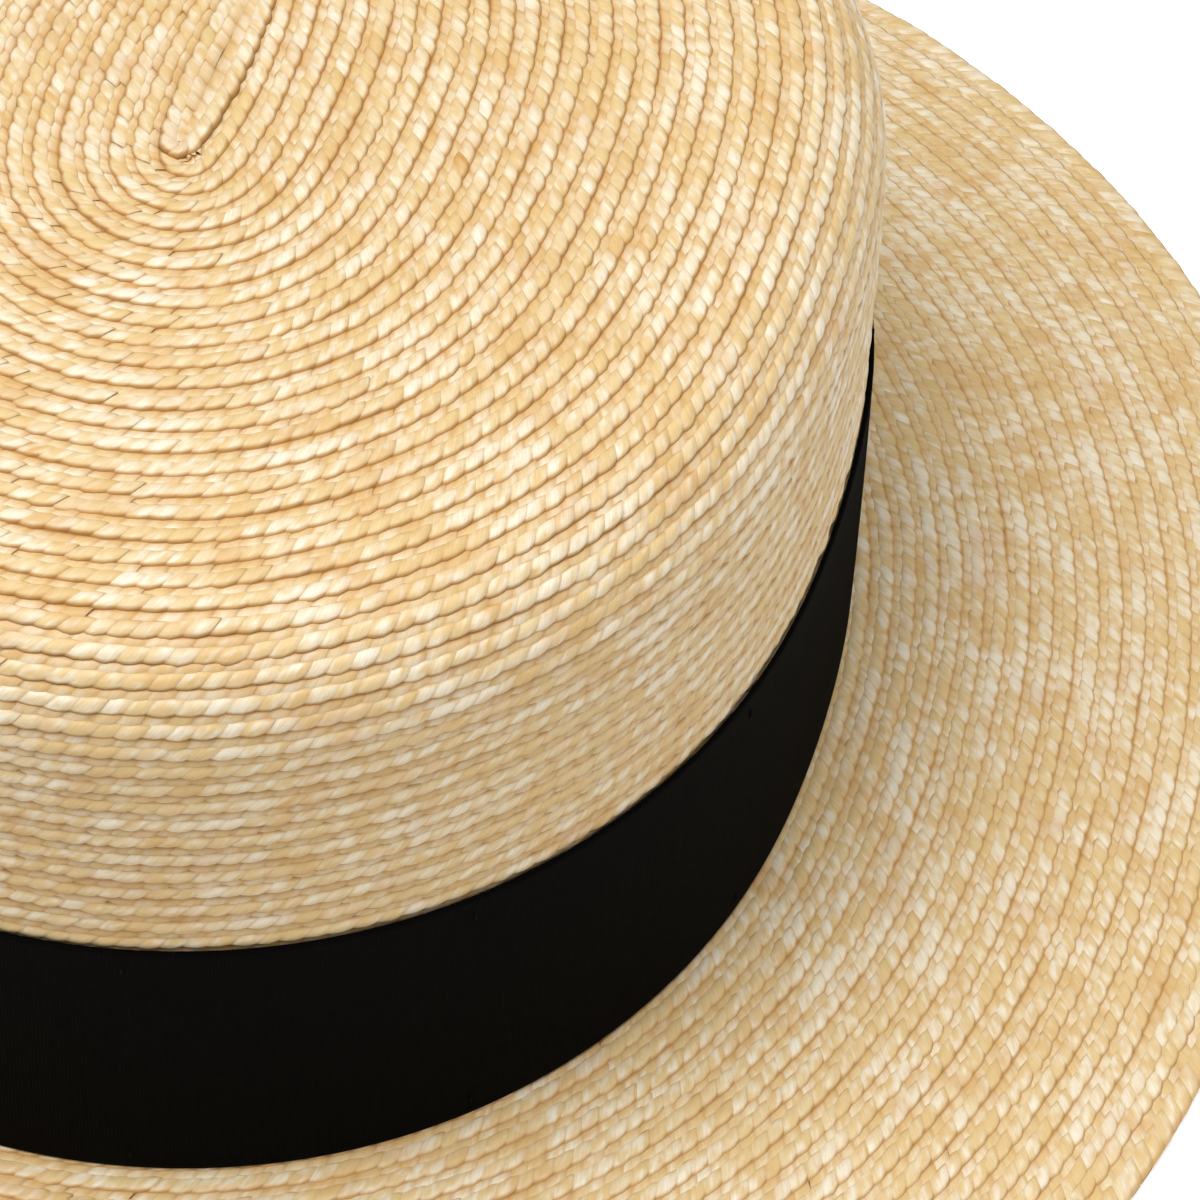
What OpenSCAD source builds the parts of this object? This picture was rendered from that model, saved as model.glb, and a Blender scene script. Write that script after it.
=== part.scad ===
// Straw boater: sewn straw plait, grosgrain band with a flat bow, and a sweatband.
// Origin under the middle of the brim, Z up, the wearer faces +Y, millimetres.

/* [Oval] */
// half width of the crown, outside the rows where they meet the brim
crown_half_w = 86; // [78:0.5:94]
// half length of the straight first length of plait, which makes every row an oval
straight_half = 16; // [10:0.5:22]

/* [Crown] */
// height of the middle of the tip above the brim
crown_h = 102; // [85:1:120]
// radius that the tip is domed to
tip_r = 430; // [300:10:600]
// radius of the shoulder between the tip and the side
shoulder_r = 16.5; // [10:0.5:25]
// how far the side leans in, in degrees
wall_lean = 1.1; // [0:0.1:6]

/* [Straw plait] */
// width of each row that is left showing on the crown
row_pitch = 3.2; // [2.6:0.05:4.5]
// width of each row that is left showing on the brim
brim_row_pitch = 3.4; // [2.6:0.05:4.5]
// thickness of one layer of plait
plait_t = 0.9; // [0.6:0.05:1.5]
// how far each row's outer edge stands above the next row
row_step = 0.6; // [0.3:0.05:1]
// number of rows that belong to the tip
tip_rows = 20; // [14:1:24]
// number of rows that turn the tip down into the side
shoulder_rows = 8; // [4:1:12]

/* [Brim] */
// width of the brim from the crown to its edge
brim_w = 68; // [40:1:90]
// how far the brim falls from the crown to its edge
brim_fall = 3; // [0:0.5:12]
// width of the doubled row at the edge
edge_row_w = 5; // [3:0.5:8]
// thickness of the doubled row at the edge
edge_row_t = 2; // [1.4:0.1:3]

/* [Ribbon] */
// height of the ribbon round the crown
ribbon_h = 45; // [25:1:60]
// thickness of the ribbon
ribbon_t = 0.7; // [0.4:0.1:1.2]
// length of one loop of the bow, from the knot
loop_l = 36; // [20:1:60]
// thickness of a flattened loop
loop_t = 3; // [2:0.25:6]
// length of a tail of the bow, from the middle of the knot
tail_l = 52; // [30:1:80]
// width of the knot
knot_w = 15; // [8:1:24]

/* [Sweatband] */
// height of the sweatband
sweat_h = 32; // [20:1:45]
// thickness of the sweatband
sweat_t = 1; // [0.5:0.1:2]
// width of the slit where its ends meet at the back
sweat_slit = 2.4; // [1:0.2:6]
// diameter of the piping cord on its lower edge
piping_d = 1.8; // [1:0.1:3]

/* [Thread] */
// diameter of the seam thread
thread_d = 0.4; // [0.3:0.05:0.8]
// number of stitches that hold the ribbon, along each edge
tack_count = 8; // [4:1:16]
// distance between the stitches of the sweatband
stitch_gap = 9; // [5:0.5:20]

/* [Hidden] */
$fn = 144;

deg = 180 / PI;
rest_gap = 0.05;   // between pieces that lie on each other
thread_gap = 0.12; // between a thread and the curved face it lies on
shell_t = plait_t + row_step;

// Heights of the brim. The doubled edge row lies on Z = 0.
brim_lift = 0.6;
brim_out = crown_half_w + brim_w;
brim_rows_out = brim_out - edge_row_w;
brim_in = crown_half_w - shell_t;
brim_slope = brim_fall / brim_w;
crown_z = brim_under(crown_half_w) + plait_t;

// The crown's meridian: a domed tip, a round shoulder and a leaning side, all
// on the inner face. The arc length along it is counted from the middle.
inner_half_w = crown_half_w - shell_t;
shoulder_in_r = shoulder_r - shell_t;
dome_r = tip_r - shell_t;
dome_z = crown_z + crown_h - tip_r;
across = inner_half_w * cos(wall_lean) + crown_z * sin(wall_lean) - shoulder_in_r;
climb = dome_z * cos(wall_lean)
      + sqrt(pow(dome_r - shoulder_in_r, 2) - pow(across - dome_z * sin(wall_lean), 2));
shoulder_x = across * cos(wall_lean) - climb * sin(wall_lean);
shoulder_z = across * sin(wall_lean) + climb * cos(wall_lean);
dome_end = atan2(shoulder_x, shoulder_z - dome_z);
wall_angle = 90 - wall_lean;
s_dome = dome_r * dome_end / deg;
s_shoulder = s_dome + shoulder_in_r * (wall_angle - dome_end) / deg;
wall_top = shoulder_z + shoulder_in_r * sin(wall_lean);
s_wall = s_shoulder + (wall_top - crown_z) / cos(wall_lean);

start_half_w = 4;
s_tip = start_half_w + tip_rows * row_pitch;
s_side = s_tip + shoulder_rows * row_pitch;
side_rows = ceil((s_wall - s_side) / row_pitch);
brim_rows = ceil((brim_rows_out - crown_half_w) / brim_row_pitch);

ribbon_z = crown_z + row_step + rest_gap;
ribbon_top = ribbon_z + ribbon_h;
sweat_z = crown_z + piping_d;

straw = [0.86, 0.72, 0.47];
straw_dark = [0.74, 0.60, 0.37];
black = [0.03, 0.03, 0.035];
cream = [0.85, 0.80, 0.68];
thread_colour = [0.80, 0.72, 0.55];

// Height of the brim's under face at a distance from the oval's spine.
function brim_under(r) = brim_lift + brim_slope * (brim_out - r);

// Angle from the vertical of the crown's outward direction, at an arc length.
function lean_at(s) =
    s < s_dome ? s / dome_r * deg :
    s < s_shoulder ? dome_end + (s - s_dome) / shoulder_in_r * deg :
    wall_angle;

// Point on the crown's inner face at an arc length.
function meridian(s) =
    let (a = lean_at(s))
    s < s_dome ? [dome_r * sin(a), dome_z + dome_r * cos(a)] :
    s < s_shoulder ? [shoulder_x + shoulder_in_r * sin(a), shoulder_z + shoulder_in_r * cos(a)] :
    let (down = s - s_shoulder)
    [shoulder_x + shoulder_in_r * sin(a) + down * sin(wall_lean),
     shoulder_z + shoulder_in_r * cos(a) - down * cos(wall_lean)];

// The same point moved out by a distance.
function crown_at(s, out = 0) =
    meridian(s) + out * [sin(lean_at(s)), cos(lean_at(s))];

// Outer half width of the crown side at a height, less a distance inwards.
function wall_half_w(z, inwards = 0) =
    crown_half_w - (z - crown_z) * tan(wall_lean) - inwards / cos(wall_lean);

// A point on an oval whose ends have the radius r, at an angle round it.
function oval_point(r, a) =
    [r * cos(a), r * sin(a) + straight_half * sign(round(sin(a) * 1000))];

// Sweeps a section round the oval: two half turns and the straight between them.
module oval_sweep() {
    for (side = [-1, 1])
        translate([0, side * straight_half, 0])
            rotate([0, 0, side > 0 ? 0 : 180])
                rotate_extrude(angle = 180) children();
    for (side = [0, 180])
        rotate([0, 0, side])
            translate([0, straight_half, 0])
                rotate([90, 0, 0])
                    linear_extrude(2 * straight_half) children();
}

// A band round the oval that leans as the crown side does.
module wall_band(z0, z1, inwards, t) {
    oval_sweep()
        polygon([
            [wall_half_w(z0, inwards + t), z0], [wall_half_w(z0, inwards), z0],
            [wall_half_w(z1, inwards), z1], [wall_half_w(z1, inwards + t), z1],
        ]);
}

// A flat thread along the oval, lying on a face that leans by an angle.
module thread_ring(place, lean) {
    oval_sweep() translate(place) rotate(-lean) square(thread_d, center = true);
}

// Section of overlapping crown rows between two arc lengths.
module crown_rows(s0, s1, rows) {
    pitch = (s1 - s0) / rows;
    polygon(concat(
        [for (k = [0 : rows - 1]) each
            [crown_at(s0 + k * pitch, plait_t), crown_at(s0 + (k + 1) * pitch, shell_t)]],
        [for (k = [rows : -1 : 0]) crown_at(s0 + k * pitch)]
    ));
}

module plait_start() {
    steps = 4;
    color(straw) oval_sweep()
        polygon(concat(
            [for (k = [0 : steps]) crown_at(start_half_w * k / steps, plait_t + rest_gap)],
            [for (k = [steps : -1 : 0]) crown_at(start_half_w * k / steps, shell_t + plait_t)]
        ));
}

module crown_tip() {
    color(straw) oval_sweep() {
        polygon([crown_at(0), crown_at(0, plait_t),
                 crown_at(start_half_w, plait_t), crown_at(start_half_w)]);
        crown_rows(start_half_w, s_tip, tip_rows);
    }
}

module crown_shoulder() {
    color(straw) oval_sweep() crown_rows(s_tip, s_side, shoulder_rows);
}

module crown_side() {
    color(straw) oval_sweep() crown_rows(s_side, s_wall, side_rows);
}

module brim() {
    pitch = (brim_rows_out - crown_half_w) / brim_rows;
    color(straw) oval_sweep()
        polygon(concat(
            [[brim_in, brim_under(brim_in)], [brim_in, crown_z], [crown_half_w, crown_z]],
            [for (k = [0 : brim_rows - 1])
                let (a = crown_half_w + k * pitch, b = a + pitch)
                each [[a, brim_under(a) + plait_t], [b, brim_under(b) + shell_t]]],
            [[brim_rows_out, brim_under(brim_rows_out)]]
        ));
}

module brim_edge_row() {
    round_r = edge_row_t / 2;
    color(straw) oval_sweep() {
        translate([brim_rows_out, 0]) square([edge_row_w - round_r, edge_row_t]);
        intersection() {
            translate([brim_out - round_r, round_r]) circle(r = round_r);
            translate([brim_out - round_r, 0]) square([round_r, edge_row_t]);
        }
    }
}

// The end of the plait, turned under the brim beside the edge row and sewn down.
module plait_tail() {
    tail_w = 4;
    tail_t = 0.5;
    r = brim_rows_out - tail_w - 1;
    color(straw_dark)
        intersection() {
            oval_sweep()
                polygon([[r, brim_under(r) - rest_gap],
                         [r + tail_w, brim_under(r + tail_w) - rest_gap],
                         [r + tail_w, brim_under(r + tail_w) - rest_gap - tail_t],
                         [r, brim_under(r) - rest_gap - tail_t]]);
            translate([-22, -brim_out - straight_half, -1]) cube([44, 60, 8]);
        }
}

// One ring of thread for each row, on the inner face of the crown.
module crown_seam_thread() {
    clear_z = sweat_z + sweat_h + 1;
    color(thread_colour)
        for (k = [1 : tip_rows + shoulder_rows + side_rows]) {
            s = start_half_w + (k - 0.5) * row_pitch;
            place = crown_at(s, -thread_d / 2 - thread_gap);
            if (place[1] > clear_z) thread_ring(place, lean_at(s));
        }
}

module brim_seam_thread() {
    pitch = (brim_rows_out - crown_half_w) / brim_rows;
    color(thread_colour)
        for (k = [1 : 2 : brim_rows - 2]) {
            r = crown_half_w + (k - 0.5) * pitch;
            thread_ring([r, brim_under(r) - thread_d / 2 - rest_gap], 0);
        }
}

module ribbon_band() {
    color(black) wall_band(ribbon_z, ribbon_top, -ribbon_t - rest_gap, ribbon_t);
}

// Keeps what lies at the wearer's left, within an outline in Y and Z.
module left_piece(outline) {
    intersection() {
        children();
        rotate([90, 0, -90]) linear_extrude(brim_out) scale([-1, 1]) polygon(outline);
    }
}

module bow_tails() {
    z0 = ribbon_z + 4;
    z1 = ribbon_top - 4;
    notch = 9;
    under = -ribbon_t - 2 * rest_gap;
    color(black)
        left_piece([
            [-tail_l, z0], [tail_l, z0], [tail_l - notch, (z0 + z1) / 2], [tail_l, z1],
            [-tail_l, z1], [-tail_l + notch, (z0 + z1) / 2],
        ])
        wall_band(z0 - 1, z1 + 1, under - ribbon_t, ribbon_t);
}

module bow_loops() {
    z0 = ribbon_z + 2;
    z1 = ribbon_top - 2;
    pinch = 4;
    near = knot_w / 2 - 2;
    far = knot_w / 2 + loop_l;
    corner = 3;
    under = -2 * ribbon_t - 3 * rest_gap;
    color(black)
        left_piece([
            [-far, z0 + corner], [-far + corner, z0], [-near, z0 + pinch], [near, z0 + pinch],
            [far - corner, z0], [far, z0 + corner], [far, z1 - corner], [far - corner, z1],
            [near, z1 - pinch], [-near, z1 - pinch], [-far + corner, z1], [-far, z1 - corner],
        ])
        wall_band(z0 - 1, z1 + 1, under - loop_t, loop_t);
}

module bow_knot() {
    z0 = ribbon_z + 3.5;
    z1 = ribbon_top - 3.5;
    inner = -2 * ribbon_t - loop_t - 4 * rest_gap;
    foot = -ribbon_t - 2 * rest_gap;
    color(black)
        left_piece([[-knot_w / 2, z0], [knot_w / 2, z0], [knot_w / 2, z1], [-knot_w / 2, z1]])
        union() {
            wall_band(z0 - 1, z1 + 1, inner - ribbon_t, ribbon_t);
            wall_band(z0, z0 + ribbon_t, inner - ribbon_t, ribbon_t - inner + foot);
            wall_band(z1 - ribbon_t, z1, inner - ribbon_t, ribbon_t - inner + foot);
        }
}

// Short stitches near both edges of the ribbon, everywhere but behind the bow.
module ribbon_tacks() {
    tack_l = 2.4;
    span = 250;
    color(black)
        for (z = [ribbon_z + 2, ribbon_top - 2 - tack_l], k = [0 : tack_count - 1]) {
            a = span * ((k + 0.5) / tack_count - 0.5);
            r = wall_half_w(z, -ribbon_t - rest_gap) + thread_d / 2;
            translate(concat(oval_point(r, a), z)) cylinder(h = tack_l, d = thread_d, $fn = 24);
        }
}

module sweatband() {
    color(cream)
        difference() {
            wall_band(sweat_z, sweat_z + sweat_h, shell_t + rest_gap, sweat_t);
            translate([-sweat_slit / 2, -crown_half_w - straight_half - 5, sweat_z - 1])
                cube([sweat_slit, 30, sweat_h + 2]);
        }
}

module sweatband_piping() {
    z = sweat_z - piping_d / 2;
    color(cream)
        oval_sweep()
            translate([wall_half_w(z, shell_t + rest_gap) - piping_d / 2, z])
                circle(d = piping_d, $fn = 24);
}

// A small bow on the inside, where the ends of the sweatband meet at the back.
module sweatband_bow() {
    t = 0.8;
    loop = 11;
    half_h = 4;
    z = sweat_z + 9;
    y = -wall_half_w(z, shell_t + rest_gap + sweat_t + rest_gap) - straight_half;
    color(cream)
        translate([0, y + 2.2, z])
            rotate([90, 0, 0]) {
                for (side = [-1, 1])
                    linear_extrude(t) {
                        polygon([[0, -1], [side * loop * 0.7, -half_h],
                                 [side * loop * 0.7, half_h], [0, 1]]);
                        translate([side * loop * 0.7, 0]) circle(r = half_h);
                        polygon([[0, 0.6], [side * 1, 1], [side * 9, -13], [side * 5.5, -14]]);
                    }
                translate([0, 0, -0.6]) cylinder(h = 2.8, r = 2);
            }
}

module sweatband_stitches() {
    z = sweat_z + 2;
    r = wall_half_w(z, shell_t + rest_gap + sweat_t) - thread_d / 2 - rest_gap;
    stitch_l = 3;
    half_turn = PI * r;
    turn_count = floor(half_turn / stitch_gap);
    run_count = floor(2 * straight_half / stitch_gap);
    color(thread_colour) {
        for (side = [-1, 1], k = [0 : turn_count - 1])
            translate([0, side * straight_half, z])
                rotate([0, 0, side * (k + 0.5) * 180 / turn_count])
                    translate([r, 0, 0])
                        rotate([90, 0, 0])
                            cylinder(h = stitch_l, d = thread_d, center = true, $fn = 24);
        for (side = [-1, 1], k = [0 : run_count - 1])
            translate([side * r, (k + 0.5 - run_count / 2) * stitch_gap, z])
                rotate([90, 0, 0])
                    cylinder(h = stitch_l, d = thread_d, center = true, $fn = 24);
    }
}

plait_start();
crown_tip();
crown_shoulder();
crown_side();
brim();
brim_edge_row();
plait_tail();
crown_seam_thread();
brim_seam_thread();
ribbon_band();
bow_tails();
bow_loops();
bow_knot();
ribbon_tacks();
sweatband();
sweatband_piping();
sweatband_bow();
sweatband_stitches();
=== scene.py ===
"""Straw boater: teeth of sewn plait, black grosgrain band with a flat bow, cream sweatband.

Lengths are in metres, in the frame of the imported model. The wearer faces +Y.
"""

import math

import bmesh
import bpy
import numpy as np
from mathutils import Matrix, Vector


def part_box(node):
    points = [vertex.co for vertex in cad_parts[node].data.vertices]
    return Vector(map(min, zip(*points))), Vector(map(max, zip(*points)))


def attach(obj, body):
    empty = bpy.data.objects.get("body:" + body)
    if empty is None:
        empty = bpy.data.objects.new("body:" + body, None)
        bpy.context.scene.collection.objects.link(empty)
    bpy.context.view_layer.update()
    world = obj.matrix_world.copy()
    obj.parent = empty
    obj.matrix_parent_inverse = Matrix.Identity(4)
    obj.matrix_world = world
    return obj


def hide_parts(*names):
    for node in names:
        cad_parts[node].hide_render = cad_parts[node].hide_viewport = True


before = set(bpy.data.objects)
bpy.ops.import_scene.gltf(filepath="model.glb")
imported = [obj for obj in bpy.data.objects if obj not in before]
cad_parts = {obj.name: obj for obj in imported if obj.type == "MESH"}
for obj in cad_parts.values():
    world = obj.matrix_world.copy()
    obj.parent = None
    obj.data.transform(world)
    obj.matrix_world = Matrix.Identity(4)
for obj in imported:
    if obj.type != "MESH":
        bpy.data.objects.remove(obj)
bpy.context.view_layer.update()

bl_info = {
    "name": "Straw boater",
    "version": (1, 0, 0),
    "blender": (4, 5, 0),
    "location": "View3D > Sidebar > Boater",
    "description": "Builds a sewn straw boater on its packed frame",
    "category": "Object",
}

MM = 0.001
DEG = math.pi / 180
FIRST_EDGE = 4.26 * MM  # distance of the first row's edge from the middle of the tip
EDGE_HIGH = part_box("brim_edge_row")[1]
SIDE_LOW, SIDE_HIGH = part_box("crown_side")
RIBBON_LOW, RIBBON_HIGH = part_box("ribbon_band")
SWEAT_LOW, SWEAT_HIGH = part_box("sweatband")
START_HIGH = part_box("plait_start")[1]
KNOT_LOW, KNOT_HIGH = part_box("bow_knot")
LOOPS_LOW, LOOPS_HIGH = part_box("bow_loops")
TAILS_LOW, TAILS_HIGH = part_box("bow_tails")


def length(name, text, value):
    """A length that the user can set."""
    return bpy.props.FloatProperty(
        name=name, description=text, default=value, unit="LENGTH", subtype="DISTANCE", precision=5
    )


def colour(name, text, value):
    """A colour that the user can set."""
    return bpy.props.FloatVectorProperty(
        name=name, description=text, default=value, size=3, min=0, max=1, subtype="COLOR"
    )


class BoaterSizes(bpy.types.PropertyGroup):
    """Sizes of the hat and of its plait."""

    straight: length("Straight half", "Half length of the straight first plait", 16 * MM)
    crown_half: length("Crown half width", "Half width where the side meets the brim", SIDE_HIGH.x)
    crown_foot: length("Crown foot", "Height of the brim's top at the side", SIDE_LOW.z)
    crown_top: length("Crown top", "Height of the middle of the tip", START_HIGH.z - 0.9 * MM)
    tip_radius: length("Tip radius", "Radius that the tip is domed to", 430 * MM)
    shoulder: length("Shoulder radius", "Radius of the bend from tip to side", 16.5 * MM)
    lean: bpy.props.FloatProperty(
        name="Side lean", description="How far the side leans in", default=1.1 * DEG, subtype="ANGLE"
    )
    shell: length("Shell", "Thickness of the sewn plait at a row's edge", 1.5 * MM)
    row: length("Crown row", "Width of each row on the crown", 3.25 * MM)
    brim_row: length("Brim row", "Width of each row on the brim", 3.4 * MM)
    tooth: length("Tooth", "Length of one tooth of the plait", 3.0 * MM)
    relief: length("Relief", "Height of a tooth on the crown", 1.0 * MM)
    brim_out: length("Brim half width", "Half width of the hat", EDGE_HIGH.x)
    edge_row: length("Edge row", "Width of the doubled row at the brim's edge", 5 * MM)
    brim_fall: length("Brim fall", "How far the brim falls to its edge", 3 * MM)
    ribbon: length("Ribbon", "Thickness of the ribbon", 0.7 * MM)
    rib: length("Rib", "Distance between the ribs of the ribbon", 0.48 * MM)
    sweat: length("Sweatband", "Thickness of the sweatband", 1.0 * MM)
    slit: length("Slit", "Gap between the ends of the sweatband", 2.4 * MM)
    thread: length("Thread", "Diameter of the seam thread", 0.4 * MM)


class BoaterColours(bpy.types.PropertyGroup):
    """Colours of the straw, ribbon, thread and sweatband."""

    gold: colour("Gold straw", "The usual straw", (0.78, 0.575, 0.275))
    cream: colour("Cream straw", "The lighter straw", (0.85, 0.695, 0.44))
    pale: colour("Pale straw", "Bleached patches", (0.94, 0.88, 0.72))
    # Amber is also the warm part of the painted shade in the tucks.
    amber: colour("Amber straw", "The darkest straws", (0.64, 0.32, 0.075))
    # Painted shade: the dark brown that stands for the shadow in the tucks between rows.
    tuck_shade: colour("Tuck", "Straw in the tucks between rows", (0.24, 0.095, 0.02))
    speck: colour("Speck", "Joints and specks of the straw", (0.10, 0.075, 0.06))
    thread: colour("Thread", "Seam thread", (0.72, 0.60, 0.38))
    black: colour("Ribbon black", "Ribbon and its stitches", (0.0010, 0.0010, 0.0010))
    band: colour("Sweatband cream", "Sweatband, piping and small bow", (0.74, 0.67, 0.52))
    floor: colour("Floor", "Floor of the stage", (0.92, 0.92, 0.92))


def sizes():
    """The sizes set in the scene."""
    return bpy.context.scene.boater_sizes


def colours():
    """The colours set in the scene."""
    return bpy.context.scene.boater_colours


# Shapes ---------------------------------------------------------------------------


def oval(r, a, straight):
    """Points of the oval with half width r whose outward directions have the angle a.

    The tangent's distance from the middle is r plus the straight half times a blend of
    the rounded size of sin a with its square; the point is that distance along the
    direction plus the distance's slope across it.
    """
    soft = 0.12
    blend = 0.3 * np.clip(r / 0.086, 0, 1)
    s, c = np.sin(a), np.cos(a)
    q = np.sqrt(s * s + soft * soft)
    k = math.sqrt(1 + soft * soft) - soft
    h = r + straight * ((1 - blend) * (q - soft) / k + blend * s * s)
    dh = straight * s * c * ((1 - blend) / (q * k) + 2 * blend)
    return h * c - dh * s, h * s + dh * c


class Crown:
    """The surface that touches the crests of the crown's rows.

    Its meridian is an arc of the tip's radius, an arc of the shoulder's radius that
    touches it, and a straight side; s is the arc length from the middle of the tip.
    """

    def __init__(self):
        z = sizes()
        self.tip, self.bend, self.lean = z.tip_radius, z.shoulder, z.lean
        self.straight, self.shift = z.straight, 0.0
        self.low = z.crown_top - z.tip_radius
        co, si = math.cos(z.lean), math.sin(z.lean)
        across = z.crown_half * co + z.crown_foot * si - z.shoulder
        reach = z.tip_radius - z.shoulder
        climb = self.low * co + math.sqrt(reach**2 - (across - self.low * si) ** 2)
        self.x, self.z = across * co - climb * si, across * si + climb * co
        self.turn = math.atan2(self.x, self.z - self.low)
        self.s_tip = self.tip * self.turn
        self.s_side = self.s_tip + self.bend * (math.pi / 2 - self.lean - self.turn)

    def s_at(self, height):
        """Arc length at which the side passes a height."""
        top = self.z + self.bend * math.sin(self.lean)
        return self.s_side + (top - height) / math.cos(self.lean)

    def profile(self, s):
        """Half width, height and lean at arc length s.

        Each arc's half width is its centre's plus its radius times the sine of the lean,
        its height the same with the cosine; the side falls straight from the bend's end.
        """
        bent = self.turn + (s - self.s_tip) / self.bend
        a = np.where(s < self.s_tip, s / self.tip, np.minimum(bent, math.pi / 2 - self.lean))
        down = np.maximum(s - self.s_side, 0)
        r = np.where(s < self.s_tip, self.tip * np.sin(a), self.x + self.bend * np.sin(a))
        z = np.where(s < self.s_tip, self.low + self.tip * np.cos(a), self.z + self.bend * np.cos(a))
        return r + down * math.sin(self.lean), z - down * math.cos(self.lean), a


class Brim:
    """The surface that touches the crests of the brim's rows: a shallow cone.

    s is the distance out from the crown's side.
    """

    def __init__(self, lift=0.0):
        z = sizes()
        self.r, self.lift = z.crown_half, lift
        self.straight, self.shift = z.straight, 0.0
        self.width = z.brim_out - z.crown_half
        self.fall = z.brim_fall / self.width

    def profile(self, s):
        """Half width, height and lean at s: the height falls evenly to the edge."""
        under = 0.6 * MM + self.fall * (self.width - s)
        return self.r + s, under + sizes().shell + self.lift, np.full(np.shape(s), self.fall)


def place(skin, s, a, out):
    """Points at arc length s and angle a, moved out along the surface's own direction."""
    r, z, lean = skin.profile(s)
    x, y = oval(r + out * np.sin(lean), a, skin.straight)
    return np.stack(np.broadcast_arrays(x + skin.shift, y, z + out * np.cos(lean)), -1)


def drift(x, step, seed):
    """A smooth random curve: random heights a step apart, joined by half cosines."""
    heights = np.random.default_rng(seed).standard_normal(int(np.max(x) / step) + 3)
    i = x / step
    j = i.astype(int)
    f = (1 - np.cos(np.pi * (i - j))) / 2
    return heights[j] * (1 - f) + heights[j + 1] * f


# Meshes ---------------------------------------------------------------------------


def grid_faces(n, nu, nv, wrap_u, wrap_v, flip):
    """Corner indices of n grids of nu by nv points, with each face's grid, row and column."""
    i = np.arange(nu if wrap_u else nu - 1)
    j = np.arange(nv if wrap_v else nv - 1)
    k, i, j = (x.ravel() for x in np.meshgrid(np.arange(n), i, j, indexing="ij"))
    i2, j2 = (i + 1) % nu, (j + 1) % nv
    base = k * nu * nv
    quad = [base + i * nv + j, base + i2 * nv + j, base + i2 * nv + j2, base + i * nv + j2]
    corner = [(i, j), (i + 1, j), (i + 1, j + 1), (i, j + 1)]
    if flip:
        quad, corner = quad[::-1], corner[::-1]
    return np.stack(quad, 1), k, corner


def atlas(k, corner, nu, nv, first, total, lines):
    """Places each grid in its own rectangle of a square map.

    A long grid is cut into lines that lie one above another.
    """
    side = math.ceil(math.sqrt(total))
    rows = math.ceil(total / side)
    pad = 0.06
    out = []
    for i, j in corner:
        along = i / nu * lines
        start = np.floor(corner_low(corner) / nu * lines + 1e-6)
        cell = first + k * lines + start
        u = (np.floor(cell % side) + pad + (1 - 2 * pad) * (along - start)) / side
        v = (np.floor(cell / side) + pad + (1 - 2 * pad) * j / nv) / rows
        out.append(np.stack([u, v], 1))
    return np.stack(out, 1)


def corner_low(corner):
    """The row of a face's first corner, whichever way round its corners go."""
    return np.minimum(corner[0][0], corner[2][0])


class Patch:
    """Grids of points, shape (count, nu, nv, 3), with their wraps and attributes."""

    def __init__(self, points, wrap=(False, False), lines=1, outward=None, **attributes):
        self.points = np.asarray(points, float)
        if self.points.ndim == 3:
            self.points = self.points[None]
            attributes = {k: v[None] for k, v in attributes.items()}
        self.wrap, self.lines, self.attributes = wrap, lines, attributes
        p = self.points
        du, dv = np.diff(p, axis=1)[:, :, :-1], np.diff(p, axis=2)[:, :-1]
        normal = np.cross(du, dv)
        if outward is None:
            middle = p.mean((1, 2), keepdims=True)
            outward = p[:, :-1, :-1] - middle
        self.flip = float((normal * outward).sum()) < 0


def make_piece(name, patches, material, nodes, weld=False, body="root"):
    """Joins patches into one mesh piece that rides on the body and replaces CAD nodes."""
    points, quads, uvs, first, item = [], [], [], 0, 0
    total = sum(p.points.shape[0] * p.lines for p in patches)
    for p in patches:
        n, nu, nv = p.points.shape[:3]
        faces, k, corner = grid_faces(n, nu, nv, *p.wrap, p.flip)
        span_u, span_v = nu - (not p.wrap[0]), nv - (not p.wrap[1])
        uvs.append(atlas(k, corner, span_u, span_v, item, total, p.lines))
        quads.append(faces + first)
        points.append(p.points.reshape(-1, 3))
        first += n * nu * nv
        item += n * p.lines
    points, quads, uvs = (np.concatenate(x) for x in (points, quads, uvs))
    mesh = bpy.data.meshes.new(name)
    mesh.vertices.add(len(points))
    mesh.vertices.foreach_set("co", points.ravel().astype(np.float32))
    mesh.loops.add(quads.size)
    mesh.loops.foreach_set("vertex_index", quads.ravel().astype(np.int32))
    mesh.polygons.add(len(quads))
    mesh.polygons.foreach_set("loop_start", np.arange(0, quads.size, 4, dtype=np.int32))
    mesh.polygons.foreach_set("use_smooth", np.ones(len(quads), bool))
    mesh.uv_layers.new(name="OFBake").data.foreach_set("uv", uvs.ravel().astype(np.float32))
    for key in {k for p in patches for k in p.attributes}:
        values = np.concatenate([
            np.broadcast_to(p.attributes.get(key, np.zeros(3)), (*p.points.shape[:3], 3)).reshape(-1, 3)
            for p in patches
        ])
        layer = mesh.attributes.new(key, "FLOAT_VECTOR", "POINT")
        layer.data.foreach_set("vector", values.ravel().astype(np.float32))
    mesh.update(calc_edges=True)
    if weld:
        work = bmesh.new()
        work.from_mesh(mesh)
        bmesh.ops.remove_doubles(work, verts=work.verts, dist=2e-6)
        work.to_mesh(mesh)
        work.free()
    mesh.materials.append(material)
    piece = bpy.data.objects.new(name, mesh)
    bpy.context.scene.collection.objects.link(piece)
    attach(piece, body)
    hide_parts(*nodes)
    return piece


# Plait ----------------------------------------------------------------------------


def spiral(s0, s1, pitch, start, last=None):
    """The outer edge of the rows: s grows by one pitch a turn while the angle falls.

    Where last is given, one more turn runs along it, under the turn before.
    """
    turns = (s1 - s0) / pitch + (last is not None)
    phi = np.linspace(0, turns * 2 * math.pi, int(turns * 1440) + 2)
    s = s0 + pitch * phi / (2 * math.pi)
    return s if last is None else np.minimum(s, last), start - phi


def ring(r_or_s, start, end):
    """A single row between two angles."""
    a = np.linspace(start, end, 1441)
    return np.full(a.shape, r_or_s), a
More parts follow.
